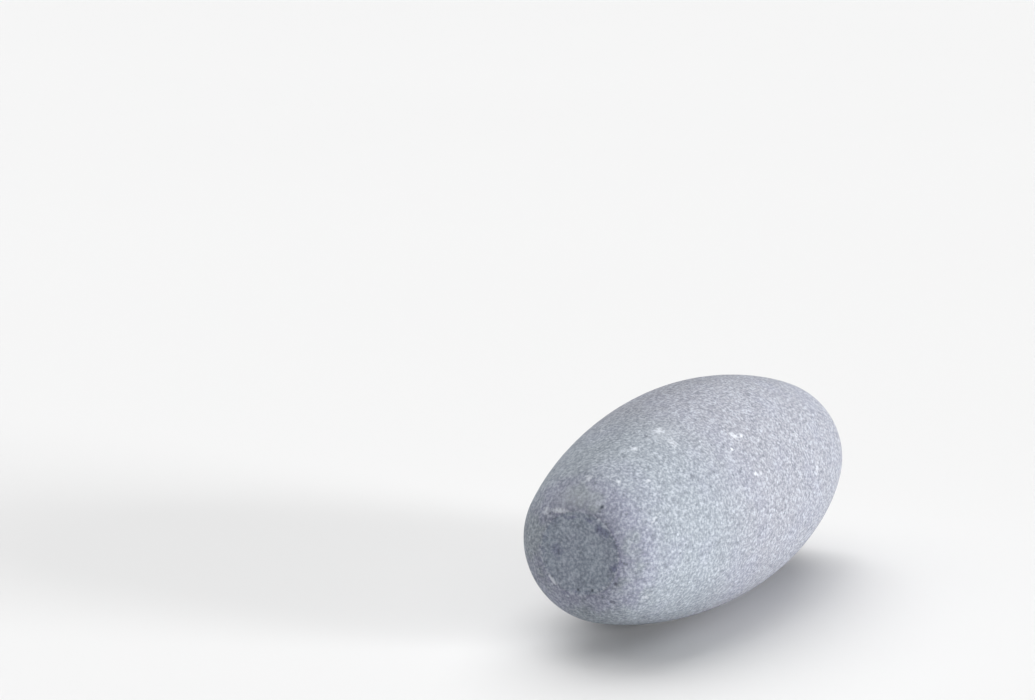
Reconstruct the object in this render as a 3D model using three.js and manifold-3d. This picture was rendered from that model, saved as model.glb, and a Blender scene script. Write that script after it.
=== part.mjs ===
// A barrel-shaped pebble of fine-grained grey stone, lying on its side.
// Units are millimetres and +Z is up. The long axis runs along X. The origin is on the surface that the
// stone rests on, under the middle of its length.
//
// The stone is one solid: an uneven barrel with domed ends, then worn flat at both ends and,
// shallowly, along the side that it lies on.

import * as THREE from "three";
import { mergeVertices } from "three/addons/utils/BufferGeometryUtils.js";
import Module from "manifold-3d";

// Driving dimensions
const LENGTH = 100; // from one worn end to the other
const BELLY_RADIUS = 22.65; // at the middle of the length, where the stone is thickest
const SIDE_ARC_RADIUS = 135; // the long curve from the belly towards each end
const SHOULDER_ARC_RADIUS = 11.2; // the tight curve that turns the side into the end
const RIM_ANGLE = THREE.MathUtils.degToRad(16); // what the surface still turns by at the rim of the worn end
const SIDE_WEAR = 0.3; // depth of the flat that the stone lies on

// The natural unevenness: slow swells that cross the surface, each a plane wave through space. They stay
// gentler than the side's own curve, so the surface bulges everywhere and dips nowhere.
const SWELLS = [
  { across: [0.9, 0.4, 0.2], wavelength: 67, height: 0.12, phase: 0.6 },
  { across: [-0.3, 0.8, 0.5], wavelength: 53, height: 0.08, phase: 4.1 },
  { across: [0.5, -0.3, 0.8], wavelength: 37, height: 0.03, phase: 4.4 },
];

// How finely the curves are drawn
const STEPS_AROUND = 72;
const SIDE_STEPS = 13;
const SHOULDER_STEPS = 9;
const DOME_STEPS = 5;

const STONE_GREY = 0x989ca5;
const STONE_ROUGHNESS = 0.85;

// Worked out from the driving dimensions
const HALF_LENGTH = LENGTH / 2;
const QUARTER_TURN = Math.PI / 2;
const SIDE_SLOPE = Math.asin(
  (HALF_LENGTH - SHOULDER_ARC_RADIUS * Math.cos(RIM_ANGLE)) / (SIDE_ARC_RADIUS - SHOULDER_ARC_RADIUS),
);

// The half profile from the belly to the tip of the dome, as arcs that follow on from each other. A point
// holds its distance from the long axis as x and its place along the axis as y, as a lathe expects. An arc
// starts where the last one ended, and the surface's lean from the axis goes from one angle to the next.
function addArc(points, radius, fromLean, toLean, steps) {
  const start = points.at(-1);
  for (let step = 1; step <= steps; step += 1) {
    const lean = THREE.MathUtils.lerp(fromLean, toLean, step / steps);
    points.push(
      new THREE.Vector2(
        start.x + radius * (Math.cos(lean) - Math.cos(fromLean)),
        start.y + radius * (Math.sin(lean) - Math.sin(fromLean)),
      ),
    );
  }
}

function halfProfile() {
  const rimLean = QUARTER_TURN - RIM_ANGLE;
  const points = [new THREE.Vector2(BELLY_RADIUS, 0)];
  addArc(points, SIDE_ARC_RADIUS, 0, SIDE_SLOPE, SIDE_STEPS);
  addArc(points, SHOULDER_ARC_RADIUS, SIDE_SLOPE, rimLean, SHOULDER_STEPS);
  const rimRadius = points.at(-1).x;
  const domeRadius = rimRadius / Math.sin(RIM_ANGLE);
  addArc(points, domeRadius, rimLean, QUARTER_TURN, DOME_STEPS);
  points.at(-1).x = 0;
  return points;
}

// The barrel before wear, turned about the X axis. Its middle is at the origin.
function turnedBarrel() {
  const upper = halfProfile();
  const lower = upper
    .slice(1)
    .reverse()
    .map((point) => new THREE.Vector2(point.x, -point.y));
  const turned = new THREE.LatheGeometry([...lower, ...upper], STEPS_AROUND);
  turned.rotateZ(-QUARTER_TURN);
  turned.deleteAttribute("normal");
  turned.deleteAttribute("uv");
  return mergeVertices(turned);
}

// How far the surface stands out of the even barrel at a point, all the swells together.
function swellAt(point) {
  let height = 0;
  for (const swell of SWELLS) {
    const direction = new THREE.Vector3(...swell.across).normalize();
    const turns = point.dot(direction) / swell.wavelength;
    height += swell.height * Math.sin(2 * Math.PI * turns + swell.phase);
  }
  return height;
}

// Moves each point of the surface along its normal by the height of the swells there.
function makeUneven(geometry) {
  geometry.computeVertexNormals();
  const positions = geometry.getAttribute("position");
  const normals = geometry.getAttribute("normal");
  const point = new THREE.Vector3();
  const normal = new THREE.Vector3();
  for (let index = 0; index < positions.count; index += 1) {
    point.fromBufferAttribute(positions, index);
    normal.fromBufferAttribute(normals, index);
    point.addScaledVector(normal, swellAt(point));
    positions.setXYZ(index, point.x, point.y, point.z);
  }
  geometry.deleteAttribute("normal");
  return geometry;
}

const wasm = await Module();
wasm.setup();

function toSolid(geometry) {
  const mesh = new wasm.Mesh({
    numProp: 3,
    vertProperties: geometry.getAttribute("position").array,
    triVerts: new Uint32Array(geometry.index.array),
  });
  return new wasm.Manifold(mesh);
}

function toGeometry(solid) {
  const mesh = solid.getMesh();
  const geometry = new THREE.BufferGeometry();
  geometry.setAttribute("position", new THREE.BufferAttribute(mesh.vertProperties, 3));
  geometry.setIndex(new THREE.BufferAttribute(mesh.triVerts, 1));
  geometry.computeVertexNormals();
  return geometry;
}

// What the wear leaves: a block whose ends and underside are the worn flats, and whose other sides are
// well clear of the stone.
function wearLimits() {
  const clearWidth = 4 * BELLY_RADIUS;
  const block = new THREE.BoxGeometry(LENGTH, clearWidth, clearWidth);
  block.translate(0, 0, clearWidth / 2 - (BELLY_RADIUS - SIDE_WEAR));
  block.deleteAttribute("normal");
  block.deleteAttribute("uv");
  return mergeVertices(block);
}

function makePebble() {
  const barrel = toSolid(makeUneven(turnedBarrel()));
  const worn = toGeometry(barrel.intersect(toSolid(wearLimits())));
  const stone = new THREE.MeshStandardMaterial({
    name: "fine_grained_stone",
    color: STONE_GREY,
    roughness: STONE_ROUGHNESS,
    metalness: 0,
    flatShading: true,
  });
  const pebble = new THREE.Mesh(worn, stone);
  pebble.name = "pebble";
  pebble.position.z = BELLY_RADIUS - SIDE_WEAR;
  return pebble;
}

const part = new THREE.Group();
part.name = "barrel_pebble";
part.add(makePebble());

export default part;
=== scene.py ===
"""A barrel-shaped pebble of tumbled grey stone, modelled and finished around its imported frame.

The stone is one piece. Geometry Nodes turn its barrel from three arcs, make it slightly uneven, wear it flat
at both ends and underneath, and press pits, dents and chips into the surface. Its material is fine-grained
grey stone with pale scuffs. Lengths are in metres, and the long axis of the stone runs along X.
"""

import math

import bpy
from mathutils import Matrix, Vector


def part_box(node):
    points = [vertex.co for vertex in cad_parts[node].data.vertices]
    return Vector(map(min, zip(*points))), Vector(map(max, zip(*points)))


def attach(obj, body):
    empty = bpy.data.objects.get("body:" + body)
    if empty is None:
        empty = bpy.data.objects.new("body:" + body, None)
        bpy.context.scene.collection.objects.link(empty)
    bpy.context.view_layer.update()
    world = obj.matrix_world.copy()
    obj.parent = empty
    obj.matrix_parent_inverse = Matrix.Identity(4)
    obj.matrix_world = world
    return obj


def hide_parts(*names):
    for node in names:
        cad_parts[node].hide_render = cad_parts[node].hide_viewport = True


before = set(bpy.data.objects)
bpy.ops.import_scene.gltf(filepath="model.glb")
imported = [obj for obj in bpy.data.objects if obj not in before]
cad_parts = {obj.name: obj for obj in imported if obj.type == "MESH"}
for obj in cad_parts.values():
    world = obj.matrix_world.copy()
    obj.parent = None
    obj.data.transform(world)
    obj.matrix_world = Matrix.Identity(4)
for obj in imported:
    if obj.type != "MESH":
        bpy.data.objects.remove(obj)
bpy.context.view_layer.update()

LOWEST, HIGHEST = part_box("pebble")

bl_info = {
    "name": "Barrel Pebble",
    "version": (1, 0, 0),
    "blender": (4, 5, 0),
    "location": "3D View > Sidebar > Barrel Pebble",
    "description": "Makes a barrel-shaped pebble of tumbled grey stone and a pale studio stage",
    "category": "Add Mesh",
}

MM = 0.001
FULL_TURN = 2 * math.pi
QUARTER_TURN = math.pi / 2
MIX_A, MIX_B = 6, 7  # the colour sockets of a Mix node

ARC_STEPS = 200  # how finely each arc of the profile is drawn
MERGE_DISTANCE = 1e-6  # points at the poles and the seam that are nearer than this become one
RIM_BAND = 0.16 * MM  # how far above or below a worn rim, along the stone, its wear still shows
FLAT_BLEND = 0.04 * MM  # how far above or below a worn rim the colour of the flat blends in
CHIP_LIMITS = (0.5, 0.62)  # the noise at which a rim begins to be chipped, and that of a full chip
MARK_THICKNESS = 1.5 * MM  # deep enough for a mark's oval to hold the surface where the stone curves
MARK_FADE = 1.7  # how many half sizes from its middle a mark has faded out

# Widths in the stone's pattern
CLOUD_SIZE = 10 * MM
MOTTLE_SIZE = 2.2 * MM
GRAIN_SIZE = 0.6 * MM
SPECK_SPACING = 1.6 * MM
RUB_PATCH_SIZE = 0.6 * MM
RIM_DARK_PATCH_SIZE = 1.5 * MM
RIM_DARK_BAND = (0.3 * MM, 1.6 * MM)  # how far from the rim its darkening starts to fade, and where it ends
FLOOR_CLOUD_SIZE = 250 * MM

# Places along the stone between which its pattern changes
ROSE_COURSE = (-34 * MM, -10 * MM)
GRAIN_COURSE = (-20 * MM, 30 * MM)
# The shoulders between these places take violet as painted shade, on both halves of the stone.
SHOULDER_COURSE = (43 * MM, 48 * MM)  # on both halves

# How the grains differ between the near half and the far half
GRAIN_STRENGTHS = (0.69, 0.9)
DARK_SPECK_CHANCES = (0.2, 0.24)  # a cell whose chance is below this holds a dark speck
PALE_SPECK_CHANCES = (0.88, 0.76)  # a cell whose chance is above this holds a pale speck

# How much of each colour shows, and the noise that brings it out. Of two limits, the colour begins to show at
# the first and is full at the second.
ROSE_SHARE = 0.6
VIOLET_LIMITS = (0.42, 0.7)
VIOLET_SHARE = 0.35
# Violet on the shoulders is painted shade, for the violet cast of their shade.
VIOLET_SHOULDER_LIMITS = (0.4, 0.55)
MOTTLE_SHARE = 0.2
DARK_GRAIN_LIMITS = (0.6, 0.4)
PALE_GRAIN_LIMITS = (0.6, 0.8)
SPECK_LIMITS = (0.24, 0.1)  # distances from the middle of a speck, where 1 is the spacing
SPECK_SHARE = 0.85
RIM_RUB = 0.42
RUB_PATCHINESS = 1.6
RUB_LIMITS = (1.05, 2.0)  # for a rub and its patches together
RUB_SHARE = 0.75
# How far the rims of the worn ends darken towards violet.
RIM_DARKENING_SHARE = 0.4
RIM_DARK_PATCHINESS = 1.5
RIM_DARK_LIMITS = (1.0, 1.8)  # for the darkening and its patches together
# Painted shade: how far the pressed pits darken towards the pit shade.
PAINTED_PIT_SHADE = 0.5  # in the pits that are pressed into the surface
DARKER_FLOOR = 0.985  # the floor's darker tone as a share of its paler one

BUMP_STRENGTH = 0.12
BUMP_HEIGHT = 0.08 * MM
SMALL_PIT_BUMP = 2.0  # how deep a small pit is in the bump, the grains being 1

# The low light at the camera's right and the high ones, in degrees. Azimuth 0 stands at -Y and 90 at +X.
SIDE_LIGHT = {"azimuth": 6, "elevation": 6}
TOP_ELEVATION = 60
TOP_LIGHTS = (
    {"azimuth": 120, "share": 0.53},
    {"azimuth": 200, "share": 0.28},
    {"azimuth": 315, "share": 0.19},
)

# The slow swells that keep the stone from being perfectly round: the direction that each crosses the stone
# in, its wavelength and height in millimetres, and its phase.
SWELLS = (
    {"across": (0.9, 0.4, 0.2), "wavelength": 67, "height": 0.12, "phase": 0.6},
    {"across": (-0.3, 0.8, 0.5), "wavelength": 53, "height": 0.08, "phase": 4.1},
    {"across": (0.5, -0.3, 0.8), "wavelength": 37, "height": 0.03, "phase": 4.4},
)

# Single marks on the stone. Travel is the distance in millimetres over the surface from the belly, less than
# zero towards the near end. Around is the angle in degrees from the top, towards the side at -Y. Heading
# turns the mark's length away from the long axis. Length and width are in millimetres. Strength is 1 for a
# full mark. Those on the near end and on the side at -Y are as seen, and the others are guessed.
PALE_SCUFFS = (
    {"travel": -25.2, "around": 14, "heading": 30, "length": 3.0, "width": 2.0, "strength": 1.0},
    {"travel": -26.8, "around": 25, "heading": 60, "length": 3.0, "width": 2.0, "strength": 0.9},
    {"travel": -11.2, "around": 41, "heading": -50, "length": 2.6, "width": 1.5, "strength": 1.1},
    {"travel": -9.0, "around": 43, "heading": 0, "length": 1.1, "width": 1.0, "strength": 1.1},
    {"travel": -4.5, "around": 49, "heading": 0, "length": 1.2, "width": 1.0, "strength": 0.8},
    {"travel": -14.8, "around": 47, "heading": 0, "length": 1.0, "width": 0.9, "strength": 1.3},
    {"travel": -11.8, "around": 64, "heading": 0, "length": 1.3, "width": 1.1, "strength": 1.1},
    {"travel": -10.0, "around": 65, "heading": 0, "length": 1.3, "width": 1.1, "strength": 1.1},
    {"travel": -34.2, "around": 12, "heading": 0, "length": 2.0, "width": 1.4, "strength": 1.0},
    {"travel": -47.0, "around": -1, "heading": 20, "length": 2.2, "width": 1.4, "strength": 0.9},
    {"travel": -45.5, "around": 22, "heading": 0, "length": 1.2, "width": 1.2, "strength": 0.9},
    {"travel": -40.5, "around": 36, "heading": 0, "length": 1.2, "width": 1.0, "strength": 0.9},
    {"travel": -27.2, "around": -20, "heading": 30, "length": 2.6, "width": 0.9, "strength": 0.9},
    {"travel": -46.5, "around": 124, "heading": 0, "length": 2.0, "width": 1.4, "strength": 0.9},
    {"travel": -45.5, "around": 62, "heading": 24, "length": 5.0, "width": 0.6, "strength": 0.75},
    {"travel": -54.3, "around": -135, "heading": 90, "length": 3.0, "width": 0.9, "strength": 1.3},
    {"travel": -53.3, "around": -29, "heading": 67, "length": 4.6, "width": 1.2, "strength": 1.2},
    {"travel": -51.8, "around": -46, "heading": 0, "length": 2.4, "width": 1.8, "strength": 0.9},
    {"travel": -1.2, "around": 63, "heading": 0, "length": 1.2, "width": 1.0, "strength": 0.7},
    {"travel": 2.8, "around": 67, "heading": 0, "length": 1.1, "width": 0.9, "strength": 0.7},
    {"travel": -7.5, "around": 59, "heading": 0, "length": 1.0, "width": 1.0, "strength": 0.7},
    {"travel": 10.8, "around": 56, "heading": 0, "length": 3.0, "width": 2.0, "strength": 0.6},
    {"travel": 15.6, "around": 77, "heading": 44, "length": 3.8, "width": 1.4, "strength": 0.8},
)
HIDDEN_SCUFFS = (
    {"travel": 12.0, "around": -58, "heading": 40, "length": 3.4, "width": 1.8, "strength": 1.0},
    {"travel": -20.5, "around": -96, "heading": -20, "length": 2.6, "width": 1.6, "strength": 0.9},
    {"travel": 33.0, "around": -112, "heading": 75, "length": 3.0, "width": 1.4, "strength": 0.9},
    {"travel": -4.0, "around": -140, "heading": 0, "length": 1.4, "width": 1.1, "strength": 1.0},
    {"travel": 25.5, "around": -70, "heading": 0, "length": 1.3, "width": 1.1, "strength": 1.1},
    {"travel": 54.3, "around": -40, "heading": 90, "length": 4.2, "width": 1.2, "strength": 1.2},
    {"travel": 54.0, "around": 120, "heading": 80, "length": 3.0, "width": 1.2, "strength": 1.1},
    {"travel": 47.5, "around": -85, "heading": 20, "length": 2.2, "width": 1.6, "strength": 0.9},
    {"travel": -38.0, "around": 170, "heading": 30, "length": 2.8, "width": 1.6, "strength": 0.9},
)
# The first of these is painted light: a faint pale patch on the near shoulder above the worn flat. The second
# is faint dust around a scuff.
FAINT_DUST_AND_PAINTED_LIGHT = (
    {"travel": -51.5, "around": -6, "heading": 90, "length": 11.0, "width": 5.5, "strength": 0.22},
    {"travel": -25.6, "around": 17, "heading": 0, "length": 5.5, "width": 5.0, "strength": 0.16},
)
# Single patches on the near end, darkened towards violet.
VIOLET_RIM_PATCHES = (
    {"travel": -55.2, "around": -13, "heading": 90, "length": 2.4, "width": 1.0, "strength": 1.0},
    {"travel": -55.3, "around": 16, "heading": 90, "length": 3.0, "width": 1.0, "strength": 0.8},
    {"travel": -55.6, "around": 42, "heading": 90, "length": 5.0, "width": 2.2, "strength": 0.9},
    {"travel": -54.7, "around": 103, "heading": 60, "length": 3.4, "width": 2.0, "strength": 0.9},
    {"travel": -57.8, "around": -87, "heading": 0, "length": 3.6, "width": 3.0, "strength": 0.8},
    {"travel": -54.8, "around": -176, "heading": 90, "length": 3.0, "width": 1.6, "strength": 0.7},
)
# The small pits are darkened with painted shade as well as dented in the bump.
DARK_PITS = (
    {"travel": -51.8, "around": 24, "heading": 0, "length": 0.9, "width": 0.7, "strength": 1.0},
    {"travel": -55.5, "around": -178, "heading": 0, "length": 0.6, "width": 0.6, "strength": 0.9},
    {"travel": -55.2, "around": 158, "heading": 0, "length": 0.7, "width": 0.6, "strength": 0.9},
    {"travel": 51.0, "around": -20, "heading": 0, "length": 0.9, "width": 0.7, "strength": 1.0},
    {"travel": 8.0, "around": -85, "heading": 0, "length": 0.7, "width": 0.6, "strength": 0.9},
)


def linear_colour(hex_text):
    """The linear red, green, blue and alpha of an sRGB hex colour."""
    channels = (int(hex_text[place:place + 2], 16) / 255 for place in (1, 3, 5))
    return tuple(
        channel / 12.92 if channel <= 0.04045 else ((channel + 0.055) / 1.055) ** 2.4
        for channel in channels
    ) + (1.0,)


def length_property(name, description, default, **settings):
    return bpy.props.FloatProperty(
        name=name, description=description, default=default, min=0.0, unit="LENGTH", precision=5, **settings
    )


def colour_property(name, description, hex_text):
    return bpy.props.FloatVectorProperty(
        name=name, description=description, default=linear_colour(hex_text),
        size=4, subtype="COLOR", min=0.0, max=1.0,
    )


class StoneShape(bpy.types.PropertyGroup):
    """The sizes of the barrel and of its worn flats"""

    length: length_property(
        "Length", "From one worn end to the other", HIGHEST[0] - LOWEST[0]
    )
    belly_radius: length_property(
        "Belly radius", "Thickness at the middle of the length, halved", 22.65 * MM
    )
    side_radius: length_property(
        "Side arc", "Radius of the long curve from the belly towards each end", 135 * MM
    )
    shoulder_radius: length_property(
        "Shoulder arc", "Radius of the tight curve that turns the side into the end", 11.2 * MM
    )
    rim_angle: bpy.props.FloatProperty(
        name="Rim angle", description="What the surface still turns by at the rim of a worn end",
        default=math.radians(16), min=0.01, max=1.0, subtype="ANGLE",
    )
    side_wear: length_property(
        "Side wear", "Depth of the flat that the stone lies on", 0.3 * MM
    )
    rim_softness: length_property(
        "Rim softness", "How far the rim of a worn flat is rounded over", 0.06 * MM
    )
    rings: bpy.props.IntProperty(
        name="Rings", description="Rows of points from one end to the other", default=332, min=20, max=600
    )
    segments: bpy.props.IntProperty(
        name="Segments", description="Points around the stone", default=298, min=16, max=600
    )
    crowding: bpy.props.FloatProperty(
        name="Crowding", description="How much closer the rows stand at the worn rims, from 0 for even rows",
        default=0.55, min=0.0, max=0.9,
    )


class StoneRelief(bpy.types.PropertyGroup):
    """What time and tumbling pressed into the surface"""

    worn_tops: length_property(
        "Worn tops", "What wear took off the highest places, so that they lie in the smooth surface",
        0.045 * MM,
    )
    dent_size: length_property("Dent size", "Width of the broad shallow dents", 7 * MM)
    dent_depth: length_property("Dent depth", "Depth of the broad shallow dents", 0.08 * MM)
    lump_size: length_property("Lump size", "Width of the small lumps left by tumbling", 1.3 * MM)
    lump_depth: length_property("Lump depth", "Depth between the small lumps", 0.05 * MM)
    pit_spacing: length_property("Pit spacing", "Usual distance between pits", 5.5 * MM)
    pit_radius: length_property("Pit radius", "Radius of the largest pits", 0.75 * MM)
    pit_depth: length_property("Pit depth", "Depth of the largest pits", 0.3 * MM)
    chip_size: length_property("Chip size", "Width of the chips along the worn rims", 2.2 * MM)
    chip_depth: length_property("Chip depth", "Depth of the chips along the worn rims", 0.16 * MM)


class StoneColours(bpy.types.PropertyGroup):
    """The colours of the stone's grains and marks"""

    green_grey: colour_property("Green grey", "The stone where it leans to green", "#959CA4")
    # Violet grey is both a colour of the stone's clouds and painted shade on the shoulders.
    violet_grey: colour_property("Violet grey", "The stone where it leans to violet", "#9699AA")
    rose_grey: colour_property("Rose grey", "The stone where it leans to rose", "#9C9AA3")
    # Painted shade: the cooler grey of the worn flats stands in for the bluish cast of the shade on the near
    # end.
    flat_shade_grey: colour_property("Flat grey", "The cooler stone that the worn ends show", "#959EAB")
    dark_grain: colour_property("Dark grain", "The dark mineral grains", "#6C727D")
    pale_grain: colour_property("Pale grain", "The pale mineral grains", "#C1C7D1")
    rubbed_white: colour_property("Rubbed white", "Stone dust in the scuffs and along the rims", "#DCE0E7")
    # Darkens the stone towards violet, in patches along the rims of the worn ends and in single patches on
    # the near end.
    rim_violet_darkening: colour_property("Violet stain", "What the faint stains at the rims let through", "#CAC7DC")
    # Painted shade: the dark colour that the pits are darkened to.
    pit_shade: colour_property("Pit shade", "Dirt in the pits", "#454A57")
    roughness: bpy.props.FloatProperty(
        name="Roughness", description="Of the dry tumbled surface", default=0.86, min=0.0, max=1.0
    )


class StageSettings(bpy.types.PropertyGroup):
    """The floor, the lights and the camera"""

    floor_colour: colour_property("Floor", "Pale painted floor", "#E6E6E6")
    floor_width: length_property("Floor width", "Side of the square floor", 30.0)
    side_strength: bpy.props.FloatProperty(
        name="Side light", description="Strength of the low light at the camera's right",
        default=4.6, min=0.0,
    )
    side_spread: bpy.props.FloatProperty(
        name="Side light spread", description="How wide the low light looks from the stone",
        default=math.radians(24), min=0.0, max=math.pi, subtype="ANGLE",
    )
    top_strength: bpy.props.FloatProperty(
        name="Top lights", description="Strength of the three high lights together", default=3.7, min=0.0
    )
    top_spread: bpy.props.FloatProperty(
        name="Top light spread", description="How wide each high light looks from the stone",
        default=math.radians(60), min=0.0, max=math.pi, subtype="ANGLE",
    )
    camera_place: bpy.props.FloatVectorProperty(
        name="Camera place", description="Where the camera stands",
        default=(-630.1 * MM, -290.8 * MM, 203.2 * MM), subtype="TRANSLATION", unit="LENGTH",
    )
    camera_heading: bpy.props.FloatProperty(
        name="Camera heading", description="Turn of the view from +Y towards +X",
        default=math.radians(62.33), subtype="ANGLE",
    )
    camera_pitch: bpy.props.FloatProperty(
        name="Camera pitch", description="How far the view looks down",
        default=math.radians(12.25), subtype="ANGLE",
    )
    lens: bpy.props.FloatProperty(
        name="Lens", description="Focal length on a 36 mm wide sensor", default=122.3, min=1.0, unit="CAMERA"
    )


class BarrelPebbleSettings(bpy.types.PropertyGroup):
    """Everything that a user would change"""

    shape: bpy.props.PointerProperty(type=StoneShape, name="Shape", description="Sizes of the stone")
    relief: bpy.props.PointerProperty(type=StoneRelief, name="Relief", description="Pits, dents and chips")
    colours: bpy.props.PointerProperty(type=StoneColours, name="Colours", description="Colours of the stone")
    stage: bpy.props.PointerProperty(
        type=StageSettings, name="Stage", description="Floor, lights and camera"
    )


def add_node(tree, kind, inputs=None, **settings):
    """Adds a node with its settings and fills its inputs, each named by its number or its label.

    An input that is given an output is linked to it, one that is given a node is linked to that node's first
    live output, and any other is set."""
    node = tree.nodes.new(kind)
    for name, value in settings.items():
        setattr(node, name, value)
    for key, value in (inputs or {}).items():
        socket = node.inputs[key]
        if isinstance(value, bpy.types.Node):
            value = next(output for output in value.outputs if output.enabled)
        if isinstance(value, bpy.types.NodeSocket):
            tree.links.new(value, socket)
        else:
            socket.default_value = value
    return node


def along_and_out(lean):
    """The direction in which the surface faces where it leans by this angle from the long axis."""
    return Vector((math.sin(lean), math.cos(lean), 0.0))


def profile_arcs(shape):
    """The arcs of the half profile, from the belly to the tip of the dome that the end wear cuts off.

    A point of the profile holds its place along the stone as x and its distance from the long axis as y."""
    rim_lean = QUARTER_TURN - shape.rim_angle
    side_slope = math.asin(
        (shape.length / 2 - shape.shoulder_radius * math.cos(shape.rim_angle))
        / (shape.side_radius - shape.shoulder_radius)
    )
    side_centre = Vector((0.0, shape.belly_radius - shape.side_radius, 0.0))
    shoulder_centre = side_centre + (shape.side_radius - shape.shoulder_radius) * along_and_out(side_slope)
    rim = shoulder_centre + shape.shoulder_radius * along_and_out(rim_lean)
    dome_radius = rim.y / math.sin(shape.rim_angle)
    dome_centre = rim - dome_radius * along_and_out(rim_lean)
    return (
        {"name": "Side", "centre": side_centre, "radius": shape.side_radius, "lean": (0.0, side_slope)},
        {"name": "Shoulder", "centre": shoulder_centre, "radius": shape.shoulder_radius,
         "lean": (side_slope, rim_lean)},
        {"name": "Dome", "centre": dome_centre, "radius": dome_radius, "lean": (rim_lean, QUARTER_TURN)},
    )


def rim_place(shape):
    """Where the rim of the worn end lies along the profile, from 0 at the belly to 1 at the dome's tip."""
    lengths = [arc["radius"] * (arc["lean"][1] - arc["lean"][0]) for arc in profile_arcs(shape)]
    return (lengths[0] + lengths[1]) / sum(lengths)


def rim_radius(shape):
    """The radius of the flat that is worn on each end."""
    dome = profile_arcs(shape)[-1]
    return dome["radius"] * math.sin(shape.rim_angle)


def new_geometry_tree(name, sizes):
    """A tree with one named input for each size, and the node that hands them on."""
    tree = bpy.data.node_groups.new(name, "GeometryNodeTree")
    sockets = {}
    for label, (socket_type, value) in sizes.items():
        socket = tree.interface.new_socket(label, in_out="INPUT", socket_type=socket_type)
        socket.default_value = value
        sockets[label] = socket.identifier
    tree.interface.new_socket("Geometry", in_out="OUTPUT", socket_type="NodeSocketGeometry")
    return tree, add_node(tree, "NodeGroupInput").outputs, sockets


def stone_inputs(shape, relief, material):
    """The named inputs of the stone's tree, with their socket types and values."""
    number, whole, point = "NodeSocketFloat", "NodeSocketInt", "NodeSocketVector"
    sizes = {
        "Rings": (whole, shape.rings),
        "Segments": (whole, shape.segments),
        "Crowding": (number, shape.crowding),
        "Rim Place": (number, rim_place(shape)),
        "Half Length": (number, shape.length / 2),
        "Underside": (number, shape.side_wear - shape.belly_radius),
        "Rim Softness": (number, shape.rim_softness),
        "Worn Tops": (number, relief.worn_tops),
        "Dent Size": (number, relief.dent_size),
        "Dent Depth": (number, relief.dent_depth),
        "Lump Size": (number, relief.lump_size),
        "Lump Depth": (number, relief.lump_depth),
        "Pit Spacing": (number, relief.pit_spacing),
        "Pit Radius": (number, relief.pit_radius),
        "Pit Depth": (number, relief.pit_depth),
        "Chip Size": (number, relief.chip_size),
        "Chip Depth": (number, relief.chip_depth),
        "Stone": ("NodeSocketMaterial", material),
    }
    for arc in profile_arcs(shape):
        start, end = arc["lean"]
        sizes[arc["name"] + " Centre"] = (point, arc["centre"])
        sizes[arc["name"] + " Radius"] = (number, arc["radius"])
        sizes[arc["name"] + " Start"] = (number, QUARTER_TURN - start)
        sizes[arc["name"] + " Sweep"] = (number, start - end)
    return sizes


def crowd_rows(tree, sizes, row):
    """Moves the rows of points along the profile towards the worn rim, by one wave of a sine.

    The first and last rows stay where they are."""
    rim_turn = add_node(tree, "ShaderNodeMath", {0: sizes["Rim Place"], 1: FULL_TURN}, operation="MULTIPLY")
    row_turn = add_node(tree, "ShaderNodeMath", {0: row, 1: FULL_TURN}, operation="MULTIPLY")
    from_rim = add_node(tree, "ShaderNodeMath", {0: row_turn, 1: rim_turn}, operation="SUBTRACT")
    row_wave = add_node(tree, "ShaderNodeMath", {0: from_rim}, operation="SINE")
    rim_wave = add_node(tree, "ShaderNodeMath", {0: rim_turn}, operation="SINE")
    wave = add_node(tree, "ShaderNodeMath", {0: row_wave, 1: rim_wave}, operation="ADD")
    share = add_node(tree, "ShaderNodeMath", {0: sizes["Crowding"], 1: -1 / FULL_TURN}, operation="MULTIPLY")
    return add_node(tree, "ShaderNodeMath", {0: wave, 1: share, 2: row}, operation="MULTIPLY_ADD")


def turn_barrel(tree, sizes):
    """A closed barrel about the X axis, from a grid whose rows follow the profile and go around."""
    profile = add_node(tree, "GeometryNodeJoinGeometry")
    for name in ("Dome", "Shoulder", "Side"):
        arc = add_node(tree, "GeometryNodeCurveArc", {
            "Resolution": ARC_STEPS,
            "Radius": sizes[name + " Radius"],
            "Start Angle": sizes[name + " Start"],
            "Sweep Angle": sizes[name + " Sweep"],
        })
        placed = add_node(tree, "GeometryNodeTransform", {
            "Geometry": arc, "Translation": sizes[name + " Centre"],
        })
        tree.links.new(placed.outputs["Geometry"], profile.inputs["Geometry"])
    grid = add_node(tree, "GeometryNodeMeshGrid", {
        "Size X": 2.0, "Size Y": FULL_TURN, "Vertices X": sizes["Rings"], "Vertices Y": sizes["Segments"],
    })
    place = add_node(tree, "ShaderNodeSeparateXYZ", {0: add_node(tree, "GeometryNodeInputPosition")})
    row = add_node(tree, "ShaderNodeMath", {0: place.outputs["X"]}, operation="ABSOLUTE")
    end = add_node(tree, "ShaderNodeMath", {0: place.outputs["X"]}, operation="SIGN")
    on_profile = add_node(
        tree, "GeometryNodeSampleCurve", {"Curves": profile, "Factor": crowd_rows(tree, sizes, row)},
        mode="FACTOR", use_all_curves=True,
    )
    towards_end = add_node(tree, "ShaderNodeCombineXYZ", {"X": end, "Y": 1.0, "Z": 1.0})
    mirrored = add_node(tree, "ShaderNodeVectorMath", {
        0: on_profile.outputs["Position"], 1: towards_end,
    }, operation="MULTIPLY")
    turned = add_node(
        tree, "ShaderNodeVectorRotate", {"Vector": mirrored, "Angle": place.outputs["Y"]},
        rotation_type="X_AXIS", invert=True,
    )
    barrel = add_node(tree, "GeometryNodeSetPosition", {"Geometry": grid, "Position": turned})
    return add_node(tree, "GeometryNodeMergeByDistance", {"Geometry": barrel, "Distance": MERGE_DISTANCE})


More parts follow.
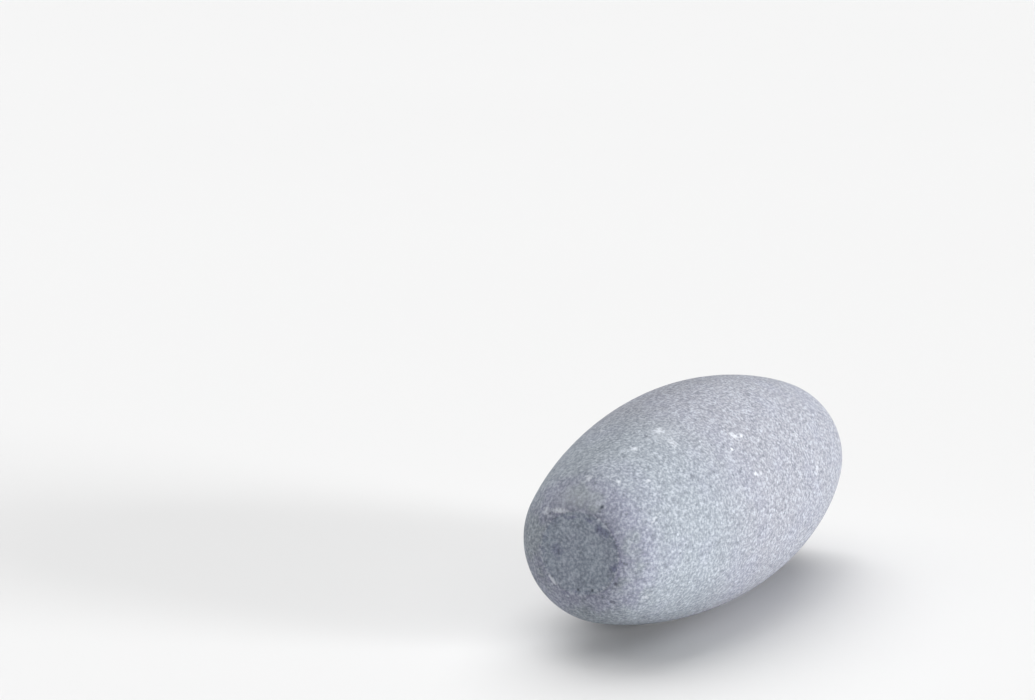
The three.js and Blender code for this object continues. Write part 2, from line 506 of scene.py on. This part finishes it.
def add_swells(tree, barrel):
    """Moves the surface along its normal by the slow swells."""
    position = add_node(tree, "GeometryNodeInputPosition")
    height = 0.0
    for swell in SWELLS:
        direction = Vector(swell["across"]).normalized()
        distance = add_node(
            tree, "ShaderNodeVectorMath", {0: position, 1: direction}, operation="DOT_PRODUCT"
        )
        angle = add_node(tree, "ShaderNodeMath", {
            0: distance.outputs["Value"], 1: FULL_TURN / (swell["wavelength"] * MM), 2: swell["phase"],
        }, operation="MULTIPLY_ADD")
        wave = add_node(tree, "ShaderNodeMath", {0: angle}, operation="SINE")
        height = add_node(
            tree, "ShaderNodeMath", {0: wave, 1: swell["height"] * MM, 2: height}, operation="MULTIPLY_ADD"
        )
    push = add_node(
        tree, "ShaderNodeVectorMath", {0: add_node(tree, "GeometryNodeInputNormal"), "Scale": height},
        operation="SCALE",
    )
    return add_node(tree, "GeometryNodeSetPosition", {"Geometry": barrel, "Offset": push})


def wear_flats(tree, sizes, barrel):
    """Wears both ends and the underside flat, with softened rims.

    The mesh keeps worn_rim, which is 1 on the rim of an end and 0 away from it, and worn_flat, which is 1 on
    the flat of an end."""
    place = add_node(tree, "ShaderNodeSeparateXYZ", {0: add_node(tree, "GeometryNodeInputPosition")})
    reach = add_node(tree, "ShaderNodeMath", {0: place.outputs["X"]}, operation="ABSOLUTE")
    end = add_node(tree, "ShaderNodeMath", {0: place.outputs["X"]}, operation="SIGN")
    past_rim = add_node(tree, "ShaderNodeMath", {0: reach, 1: sizes["Half Length"]}, operation="SUBTRACT")
    from_rim = add_node(tree, "ShaderNodeMath", {0: past_rim}, operation="ABSOLUTE")
    near_rim = add_node(tree, "ShaderNodeMapRange", {
        "Value": from_rim, "From Min": 0.0, "From Max": RIM_BAND, "To Min": 1.0, "To Max": 0.0,
    }, interpolation_type="SMOOTHSTEP")
    on_flat = add_node(tree, "ShaderNodeMapRange", {
        "Value": past_rim, "From Min": -FLAT_BLEND, "From Max": FLAT_BLEND,
    })
    marked = barrel
    for name, value in (("worn_rim", near_rim), ("worn_flat", on_flat)):
        marked = add_node(tree, "GeometryNodeStoreNamedAttribute", {
            "Geometry": marked, "Name": name, "Value": value,
        }, data_type="FLOAT", domain="POINT")
    worn_reach = add_node(
        tree, "ShaderNodeMath", {0: reach, 1: sizes["Half Length"], 2: sizes["Rim Softness"]},
        operation="SMOOTH_MIN",
    )
    worn_x = add_node(tree, "ShaderNodeMath", {0: worn_reach, 1: end}, operation="MULTIPLY")
    worn_z = add_node(
        tree, "ShaderNodeMath", {0: place.outputs["Z"], 1: sizes["Underside"], 2: sizes["Rim Softness"]},
        operation="SMOOTH_MAX",
    )
    worn = add_node(tree, "ShaderNodeCombineXYZ", {"X": worn_x, "Y": place.outputs["Y"], "Z": worn_z})
    return add_node(tree, "GeometryNodeSetPosition", {"Geometry": marked, "Position": worn})


def press_relief(tree, sizes, stone):
    """Presses dents, small lumps, pits and rim chips into the stone, and never lifts it.

    The depth of the pits is kept on the mesh as pit, from 0 to 1."""
    position = add_node(tree, "GeometryNodeInputPosition")
    strengths = {}
    for feature in ("Dent", "Lump"):
        scale = add_node(tree, "ShaderNodeMath", {0: 1.0, 1: sizes[feature + " Size"]}, operation="DIVIDE")
        strengths[feature] = add_node(tree, "ShaderNodeTexNoise", {
            "Vector": position, "Scale": scale, "Detail": 2.0, "Roughness": 0.55,
        })
    pit_scale = add_node(tree, "ShaderNodeMath", {0: 1.0, 1: sizes["Pit Spacing"]}, operation="DIVIDE")
    pit_reach = add_node(
        tree, "ShaderNodeMath", {0: sizes["Pit Radius"], 1: pit_scale}, operation="MULTIPLY"
    )
    from_pit = add_node(tree, "ShaderNodeTexVoronoi", {"Vector": position, "Scale": pit_scale})
    strengths["Pit"] = add_node(tree, "ShaderNodeMapRange", {
        "Value": from_pit.outputs["Distance"], "From Min": 0.0, "From Max": pit_reach,
        "To Min": 1.0, "To Max": 0.0,
    }, interpolation_type="SMOOTHSTEP")
    chip_scale = add_node(tree, "ShaderNodeMath", {0: 1.0, 1: sizes["Chip Size"]}, operation="DIVIDE")
    chipping = add_node(tree, "ShaderNodeTexNoise", {"Vector": position, "Scale": chip_scale, "Detail": 3.0})
    chipped = add_node(tree, "ShaderNodeMapRange", {
        "Value": chipping, "From Min": CHIP_LIMITS[0], "From Max": CHIP_LIMITS[1],
    }, interpolation_type="SMOOTHSTEP")
    rim = add_node(tree, "GeometryNodeInputNamedAttribute", {"Name": "worn_rim"}, data_type="FLOAT")
    strengths["Chip"] = add_node(
        tree, "ShaderNodeMath", {0: chipped, 1: rim.outputs["Attribute"]}, operation="MULTIPLY"
    )
    depth = add_node(tree, "ShaderNodeMath", {0: sizes["Worn Tops"], 1: -1.0}, operation="MULTIPLY")
    for feature, strength in strengths.items():
        depth = add_node(tree, "ShaderNodeMath", {
            0: strength, 1: sizes[feature + " Depth"], 2: depth,
        }, operation="MULTIPLY_ADD")
    depth = add_node(tree, "ShaderNodeMath", {0: depth, 1: 0.0}, operation="MAXIMUM")
    inwards = add_node(tree, "ShaderNodeMath", {0: depth, 1: -1.0}, operation="MULTIPLY")
    push = add_node(
        tree, "ShaderNodeVectorMath", {0: add_node(tree, "GeometryNodeInputNormal"), "Scale": inwards},
        operation="SCALE",
    )
    marked = add_node(tree, "GeometryNodeStoreNamedAttribute", {
        "Geometry": stone, "Name": "pit", "Value": strengths["Pit"],
    }, data_type="FLOAT", domain="POINT")
    return add_node(tree, "GeometryNodeSetPosition", {"Geometry": marked, "Offset": push})


def build_stone_tree(sizes_given):
    """The whole tree of the stone, and the identifiers of its inputs."""
    tree, sizes, identifiers = new_geometry_tree("barrel_pebble", sizes_given)
    stone = turn_barrel(tree, sizes)
    stone = add_swells(tree, stone)
    stone = wear_flats(tree, sizes, stone)
    stone = press_relief(tree, sizes, stone)
    up = add_node(tree, "ShaderNodeMath", {0: sizes["Underside"], 1: -1.0}, operation="MULTIPLY")
    lift = add_node(tree, "ShaderNodeCombineXYZ", {"Z": up})
    lying = add_node(tree, "GeometryNodeTransform", {"Geometry": stone, "Translation": lift})
    smooth = add_node(tree, "GeometryNodeSetShadeSmooth", {"Geometry": lying})
    real = add_node(tree, "GeometryNodeRealizeInstances", {"Geometry": smooth})
    finished = add_node(tree, "GeometryNodeSetMaterial", {"Geometry": real, "Material": sizes["Stone"]})
    add_node(tree, "NodeGroupOutput", {"Geometry": finished})
    return tree, identifiers


def plain_mesh_from_tree(name, tree, identifiers, sizes_given):
    """Runs the tree on an empty object and keeps the result as the object's own mesh."""
    piece = bpy.data.objects.new(name, bpy.data.meshes.new(name))
    bpy.context.scene.collection.objects.link(piece)
    modifier = piece.modifiers.new(name, "NODES")
    modifier.node_group = tree
    for label, (_, value) in sizes_given.items():
        modifier[identifiers[label]] = value
    evaluated = piece.evaluated_get(bpy.context.evaluated_depsgraph_get())
    piece.data = bpy.data.meshes.new_from_object(evaluated)
    piece.modifiers.remove(modifier)
    return piece


def surface_frame(shape, travel, around, heading):
    """The matrix that puts a mark on the stone: X along the mark, Z out of the surface."""
    left = abs(travel) * MM
    for arc in profile_arcs(shape):
        start, end = arc["lean"]
        lean = min(start + left / arc["radius"], end)
        if left <= arc["radius"] * (end - start):
            break
        left -= arc["radius"] * (end - start)
    point = arc["centre"] + arc["radius"] * along_and_out(lean)
    along = math.copysign(min(point.x, shape.length / 2), travel)
    height = shape.belly_radius - shape.side_wear
    angle = math.radians(around)
    place = Vector((along, -point.y * math.sin(angle), point.y * math.cos(angle) + height))
    turn = (
        Matrix.Rotation(angle, 4, "X")
        @ Matrix.Rotation(math.copysign(lean, travel), 4, "Y")
        @ Matrix.Rotation(math.radians(heading), 4, "Z")
    )
    return Matrix.Translation(place) @ turn


def mark_mask(tree, shape, position, marks):
    """How strongly each point is marked: a soft oval for each mark, the strongest one winning."""
    mask = 0.0
    for mark in marks:
        matrix = surface_frame(shape, mark["travel"], mark["around"], mark["heading"])
        half_size = (mark["length"] / 2 * MM, mark["width"] / 2 * MM, MARK_THICKNESS)
        inside = add_node(tree, "ShaderNodeMapping", {
            "Vector": position, "Location": matrix.to_translation(), "Rotation": matrix.to_euler(),
            "Scale": half_size,
        }, vector_type="TEXTURE")
        distance = add_node(tree, "ShaderNodeVectorMath", {0: inside}, operation="LENGTH")
        oval = add_node(tree, "ShaderNodeMapRange", {
            "Value": distance.outputs["Value"], "From Min": 0.0, "From Max": MARK_FADE,
            "To Min": mark["strength"], "To Max": 0.0,
        }, interpolation_type="SMOOTHSTEP")
        mask = add_node(tree, "ShaderNodeMath", {0: oval, 1: mask}, operation="MAXIMUM")
    return mask


def cloudy_ground(tree, position, colours):
    """Clouds of green-grey and violet-grey.

    The shoulders lean to violet and the worn flats to a cooler grey, both painted shade. Past the near third
    the stone leans to rose."""
    cloud = add_node(tree, "ShaderNodeTexNoise", {
        "Vector": position, "Scale": 1 / CLOUD_SIZE, "Detail": 3.0, "Roughness": 0.6,
    })
    violet_cloud = add_node(tree, "ShaderNodeMapRange", {
        "Value": cloud, "From Min": VIOLET_LIMITS[0], "From Max": VIOLET_LIMITS[1], "To Max": VIOLET_SHARE,
    }, interpolation_type="SMOOTHSTEP")
    place = add_node(tree, "ShaderNodeSeparateXYZ", {0: position})
    reach = add_node(tree, "ShaderNodeMath", {0: place.outputs["X"]}, operation="ABSOLUTE")
    near_shoulder = add_node(tree, "ShaderNodeMapRange", {
        "Value": reach, "From Min": SHOULDER_COURSE[0], "From Max": SHOULDER_COURSE[1],
    }, interpolation_type="SMOOTHSTEP")
    shoulder_cloud = add_node(tree, "ShaderNodeMapRange", {
        "Value": cloud, "From Min": VIOLET_SHOULDER_LIMITS[0], "From Max": VIOLET_SHOULDER_LIMITS[1],
    }, interpolation_type="SMOOTHSTEP")
    flat = add_node(tree, "ShaderNodeAttribute", attribute_name="worn_flat")
    off_flat = add_node(tree, "ShaderNodeMath", {0: 1.0, 1: flat.outputs["Fac"]}, operation="SUBTRACT")
    shoulder = add_node(tree, "ShaderNodeMath", {0: near_shoulder, 1: off_flat}, operation="MULTIPLY")
    # Painted shade: violet in patches on the shoulders of both ends.
    painted_shoulder_shade = add_node(
        tree, "ShaderNodeMath", {0: shoulder, 1: shoulder_cloud}, operation="MULTIPLY"
    )
    violet = add_node(tree, "ShaderNodeMath", {0: violet_cloud, 1: painted_shoulder_shade}, operation="MAXIMUM")
    rose = add_node(tree, "ShaderNodeMapRange", {
        "Value": place.outputs["X"], "From Min": ROSE_COURSE[0], "From Max": ROSE_COURSE[1],
        "To Max": ROSE_SHARE,
    }, interpolation_type="SMOOTHSTEP")
    ground = add_node(tree, "ShaderNodeMix", {
        0: rose, MIX_A: colours.green_grey, MIX_B: colours.rose_grey,
    }, data_type="RGBA")
    # The worn flats take the cooler grey of painted shade.
    for share, colour in ((flat.outputs["Fac"], colours.flat_shade_grey), (violet, colours.violet_grey)):
        ground = add_node(tree, "ShaderNodeMix", {0: share, MIX_A: ground, MIX_B: colour}, data_type="RGBA")
    return ground


def from_near_to_far(tree, place, values):
    """Goes from the near half's value to the far half's along the stone."""
    return add_node(tree, "ShaderNodeMapRange", {
        "Value": place.outputs["X"], "From Min": GRAIN_COURSE[0], "From Max": GRAIN_COURSE[1],
        "To Min": values[0], "To Max": values[1],
    })


def add_grains(tree, position, ground, colours):
    """Dark and pale grains half a millimetre wide, with a slow mottle and with sparse stronger specks.

    Gives the colour, and the height of the grains for the bump."""
    grain = add_node(tree, "ShaderNodeTexNoise", {
        "Vector": position, "Scale": 1 / GRAIN_SIZE, "Detail": 2.0, "Roughness": 0.65,
    })
    mottle = add_node(tree, "ShaderNodeTexNoise", {
        "Vector": position, "Scale": 1 / MOTTLE_SIZE, "Detail": 2.0, "Roughness": 0.6,
    })
    mottled = add_node(tree, "ShaderNodeMath", {
        0: mottle, 1: MOTTLE_SHARE, 2: grain,
    }, operation="MULTIPLY_ADD")
    place = add_node(tree, "ShaderNodeSeparateXYZ", {0: position})
    strength = from_near_to_far(tree, place, GRAIN_STRENGTHS)
    speck = add_node(tree, "ShaderNodeTexVoronoi", {"Vector": position, "Scale": 1 / SPECK_SPACING})
    speck_core = add_node(tree, "ShaderNodeMapRange", {
        "Value": speck, "From Min": SPECK_LIMITS[0], "From Max": SPECK_LIMITS[1], "To Max": SPECK_SHARE,
    }, interpolation_type="SMOOTHSTEP")
    chance = add_node(tree, "ShaderNodeSeparateColor", {0: speck.outputs["Color"]})
    for grain_colour, grain_limits, comparison, speck_chances in (
        (colours.dark_grain, DARK_GRAIN_LIMITS, "LESS_THAN", DARK_SPECK_CHANCES),
        (colours.pale_grain, PALE_GRAIN_LIMITS, "GREATER_THAN", PALE_SPECK_CHANCES),
    ):
        grains = add_node(tree, "ShaderNodeMapRange", {
            "Value": mottled, "From Min": grain_limits[0], "From Max": grain_limits[1], "To Max": strength,
        })
        limit = from_near_to_far(tree, place, speck_chances)
        chosen = add_node(tree, "ShaderNodeMath", {0: chance, 1: limit}, operation=comparison)
        core = add_node(tree, "ShaderNodeMath", {0: speck_core, 1: chosen}, operation="MULTIPLY")
        share = add_node(tree, "ShaderNodeMath", {0: grains, 1: core}, operation="MAXIMUM")
        ground = add_node(tree, "ShaderNodeMix", {
            0: share, MIX_A: ground, MIX_B: grain_colour,
        }, data_type="RGBA")
    return ground, mottled


def add_rubs(tree, shape, position, ground, colours):
    """White stone dust in the scuffs and, in patches, along the worn rims. A faint pale patch above the near
    flat is painted light.
    """
    rim = add_node(tree, "ShaderNodeAttribute", attribute_name="worn_rim")
    rim_rub = add_node(tree, "ShaderNodeMath", {0: rim.outputs["Fac"], 1: RIM_RUB}, operation="MULTIPLY")
    scuffs = mark_mask(tree, shape, position, PALE_SCUFFS + HIDDEN_SCUFFS)
    rubbed = add_node(tree, "ShaderNodeMath", {0: scuffs, 1: rim_rub}, operation="MAXIMUM")
    patches = add_node(tree, "ShaderNodeTexNoise", {
        "Vector": position, "Scale": 1 / RUB_PATCH_SIZE, "Detail": 3.0, "Roughness": 0.6,
    })
    patchy = add_node(tree, "ShaderNodeMath", {
        0: patches, 1: RUB_PATCHINESS, 2: rubbed,
    }, operation="MULTIPLY_ADD")
    share = add_node(tree, "ShaderNodeMapRange", {
        "Value": patchy, "From Min": RUB_LIMITS[0], "From Max": RUB_LIMITS[1], "To Max": RUB_SHARE,
    })
    # Faint pale patches: painted light above the near flat, and faint dust around a scuff.
    dust = mark_mask(tree, shape, position, FAINT_DUST_AND_PAINTED_LIGHT)
    whitened = add_node(tree, "ShaderNodeMath", {0: share, 1: dust}, operation="MAXIMUM")
    return add_node(tree, "ShaderNodeMix", {
        0: whitened, MIX_A: ground, MIX_B: colours.rubbed_white,
    }, data_type="RGBA")


def darken_rims_violet(tree, shape, position, ground, colours):
    """Darkens towards violet in patches along the rim of each worn end, and in single patches on the near
    end.
    """
    axis_height = shape.belly_radius - shape.side_wear
    off_axis = add_node(tree, "ShaderNodeVectorMath", {
        0: position, 1: (0.0, 1.0, 1.0), 2: (0.0, 0.0, -axis_height),
    }, operation="MULTIPLY_ADD")
    radius = add_node(tree, "ShaderNodeVectorMath", {0: off_axis}, operation="LENGTH")
    off_rim = add_node(
        tree, "ShaderNodeMath", {0: radius.outputs["Value"], 1: rim_radius(shape)}, operation="SUBTRACT"
    )
    from_rim = add_node(tree, "ShaderNodeMath", {0: off_rim}, operation="ABSOLUTE")
    along_rim = add_node(tree, "ShaderNodeMapRange", {
        "Value": from_rim, "From Min": RIM_DARK_BAND[0], "From Max": RIM_DARK_BAND[1],
        "To Min": RIM_DARKENING_SHARE, "To Max": 0.0,
    }, interpolation_type="SMOOTHSTEP")
    single = mark_mask(tree, shape, position, VIOLET_RIM_PATCHES)
    rim_darkened = add_node(tree, "ShaderNodeMath", {0: along_rim, 1: single}, operation="MAXIMUM")
    patches = add_node(tree, "ShaderNodeTexNoise", {
        "Vector": position, "Scale": 1 / RIM_DARK_PATCH_SIZE, "Detail": 3.0, "Roughness": 0.6,
    })
    patchy = add_node(tree, "ShaderNodeMath", {
        0: patches, 1: RIM_DARK_PATCHINESS, 2: rim_darkened,
    }, operation="MULTIPLY_ADD")
    share = add_node(tree, "ShaderNodeMapRange", {
        "Value": patchy, "From Min": RIM_DARK_LIMITS[0], "From Max": RIM_DARK_LIMITS[1],
    })
    return add_node(tree, "ShaderNodeMix", {
        0: share, MIX_A: ground, MIX_B: colours.rim_violet_darkening,
    }, data_type="RGBA", blend_type="MULTIPLY")


def add_pits(tree, shape, position, ground, colours):
    """Painted shade in the pits. Gives the colour, and how deep the small pits are for the bump."""
    pit = add_node(tree, "ShaderNodeAttribute", attribute_name="pit")
    broad = add_node(tree, "ShaderNodeMath", {0: pit.outputs["Fac"], 1: PAINTED_PIT_SHADE}, operation="MULTIPLY")
    small = mark_mask(tree, shape, position, DARK_PITS)
    share = add_node(tree, "ShaderNodeMath", {0: broad, 1: small}, operation="MAXIMUM")
    pitted = add_node(tree, "ShaderNodeMix", {
        0: share, MIX_A: ground, MIX_B: colours.pit_shade,
    }, data_type="RGBA")
    return pitted, small


def new_material(name):
    """A material with an empty tree."""
    material = bpy.data.materials.new(name)
    material.use_nodes = True
    material.node_tree.nodes.clear()
    return material, material.node_tree


def tumbled_grey_stone(shape, colours):
    """Fine-grained grey stone, tumbled and dry.

    The eye gets a dull surface with no shine, a salt and pepper of pale and dark grains about half a
    millimetre wide, clouds of cooler and more violet grey, and white rubs where stone met stone."""
    # Painted shade among these colours: the violet of the shoulders and the cooler grey of the worn flats.
    material, tree = new_material("tumbled_grey_stone")
    position = add_node(tree, "ShaderNodeTexCoord").outputs["Object"]
    ground = cloudy_ground(tree, position, colours)
    grained, grain_height = add_grains(tree, position, ground, colours)
    rim_darkened = darken_rims_violet(tree, shape, position, grained, colours)
    rubbed = add_rubs(tree, shape, position, rim_darkened, colours)
    pitted, small_pits = add_pits(tree, shape, position, rubbed, colours)
    height = add_node(tree, "ShaderNodeMath", {
        0: small_pits, 1: -SMALL_PIT_BUMP, 2: grain_height,
    }, operation="MULTIPLY_ADD")
    bump = add_node(tree, "ShaderNodeBump", {
        "Strength": BUMP_STRENGTH, "Distance": BUMP_HEIGHT, "Height": height,
    })
    shader = add_node(tree, "ShaderNodeBsdfPrincipled", {
        "Base Color": pitted, "Normal": bump, "Roughness": colours.roughness, "IOR": 1.5,
        "Specular IOR Level": 0.3,
    })
    add_node(tree, "ShaderNodeOutputMaterial", {"Surface": shader})
    return material


def matt_painted_floor(stage):
    """Smooth matt paint on a studio floor. The eye gets an even pale ground, its tone a hair uneven."""
    material, tree = new_material("matt_painted_floor")
    position = add_node(tree, "ShaderNodeTexCoord").outputs["Object"]
    tone = add_node(tree, "ShaderNodeTexNoise", {
        "Vector": position, "Scale": 1 / FLOOR_CLOUD_SIZE, "Detail": 2.0,
    })
    darker = tuple(DARKER_FLOOR * channel for channel in stage.floor_colour[:3]) + (1.0,)
    paint = add_node(tree, "ShaderNodeMix", {
        0: tone, MIX_A: stage.floor_colour, MIX_B: darker,
    }, data_type="RGBA")
    shader = add_node(tree, "ShaderNodeBsdfPrincipled", {
        "Base Color": paint, "Roughness": 0.9, "Specular IOR Level": 0.1,
    })
    add_node(tree, "ShaderNodeOutputMaterial", {"Surface": shader})
    return material


def add_soft_light(name, azimuth, elevation, strength, spread):
    """A sun with a wide disc, as a large soft box gives."""
    light = bpy.data.lights.new(name, "SUN")
    light.energy = strength
    light.angle = spread
    holder = bpy.data.objects.new(name, light)
    holder.rotation_euler = (math.radians(90 - elevation), 0.0, math.radians(azimuth))
    bpy.context.scene.collection.objects.link(holder)


def make_floor(stage):
    half = stage.floor_width / 2
    corners = [(-half, -half, 0.0), (half, -half, 0.0), (half, half, 0.0), (-half, half, 0.0)]
    mesh = bpy.data.meshes.new("pale_floor")
    mesh.from_pydata(corners, [], [(0, 1, 2, 3)])
    mesh.materials.append(matt_painted_floor(stage))
    floor = bpy.data.objects.new("pale_floor", mesh)
    bpy.context.scene.collection.objects.link(floor)


def make_lights(stage):
    add_soft_light(
        "side_light", SIDE_LIGHT["azimuth"], SIDE_LIGHT["elevation"], stage.side_strength, stage.side_spread
    )
    for light in TOP_LIGHTS:
        strength = light["share"] * stage.top_strength
        add_soft_light("top_light", light["azimuth"], TOP_ELEVATION, strength, stage.top_spread)
    dark_room = bpy.data.worlds.new("dark_room")
    dark_room.use_nodes = True
    dark_room.node_tree.nodes["Background"].inputs["Strength"].default_value = 0.0
    bpy.context.scene.world = dark_room
    bpy.context.scene.view_settings.view_transform = "Standard"


def make_camera(stage):
    camera = bpy.data.cameras.new("camera")
    camera.sensor_width = 36.0
    camera.lens = stage.lens
    holder = bpy.data.objects.new("camera", camera)
    holder.location = stage.camera_place
    holder.rotation_euler = (QUARTER_TURN - stage.camera_pitch, 0.0, -stage.camera_heading)
    bpy.context.scene.collection.objects.link(holder)
    bpy.context.scene.camera = holder


class BARREL_PEBBLE_OT_make_stage(bpy.types.Operator):
    """Makes the pale floor, the soft lights and the camera"""

    bl_idname = "barrel_pebble.make_stage"
    bl_label = "Make stage"

    def execute(self, context):
        stage = context.scene.barrel_pebble.stage
        make_camera(stage)
        make_floor(stage)
        make_lights(stage)
        return {"FINISHED"}


class BARREL_PEBBLE_OT_make_stone(bpy.types.Operator):
    """Makes the tumbled stone in place of its plain solid"""

    bl_idname = "barrel_pebble.make_stone"
    bl_label = "Make stone"

    def execute(self, context):
        settings = context.scene.barrel_pebble
        material = tumbled_grey_stone(settings.shape, settings.colours)
        sizes = stone_inputs(settings.shape, settings.relief, material)
        tree, identifiers = build_stone_tree(sizes)
        stone = plain_mesh_from_tree("tumbled_pebble", tree, identifiers, sizes)
        if not stone.data.polygons:
            raise RuntimeError("the stone came out empty")
        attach(stone, "root")
        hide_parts("pebble")
        return {"FINISHED"}


class BARREL_PEBBLE_PT_panel(bpy.types.Panel):
    """Lists the settings and the operators of the pebble"""

    bl_idname = "BARREL_PEBBLE_PT_panel"
    bl_label = "Barrel Pebble"
    bl_space_type = "VIEW_3D"
    bl_region_type = "UI"
    bl_category = "Barrel Pebble"

    def draw(self, context):
        settings = context.scene.barrel_pebble
        for group in (settings.shape, settings.relief, settings.colours, settings.stage):
            box = self.layout.box()
            for name in group.bl_rna.properties.keys():
                if name not in ("rna_type", "name"):
                    box.prop(group, name)
        for operator in OPERATORS:
            self.layout.operator(operator.bl_idname)


OPERATORS = (BARREL_PEBBLE_OT_make_stage, BARREL_PEBBLE_OT_make_stone)
CLASSES = (
    StoneShape, StoneRelief, StoneColours, StageSettings, BarrelPebbleSettings, *OPERATORS,
    BARREL_PEBBLE_PT_panel,
)


def register():
    for cls in CLASSES:
        bpy.utils.register_class(cls)
    bpy.types.Scene.barrel_pebble = bpy.props.PointerProperty(type=BarrelPebbleSettings)


def unregister():
    del bpy.types.Scene.barrel_pebble
    for cls in reversed(CLASSES):
        bpy.utils.unregister_class(cls)


def main():
    register()
    bpy.ops.barrel_pebble.make_stage()
    bpy.ops.barrel_pebble.make_stone()


if __name__ == "__main__":
    main()
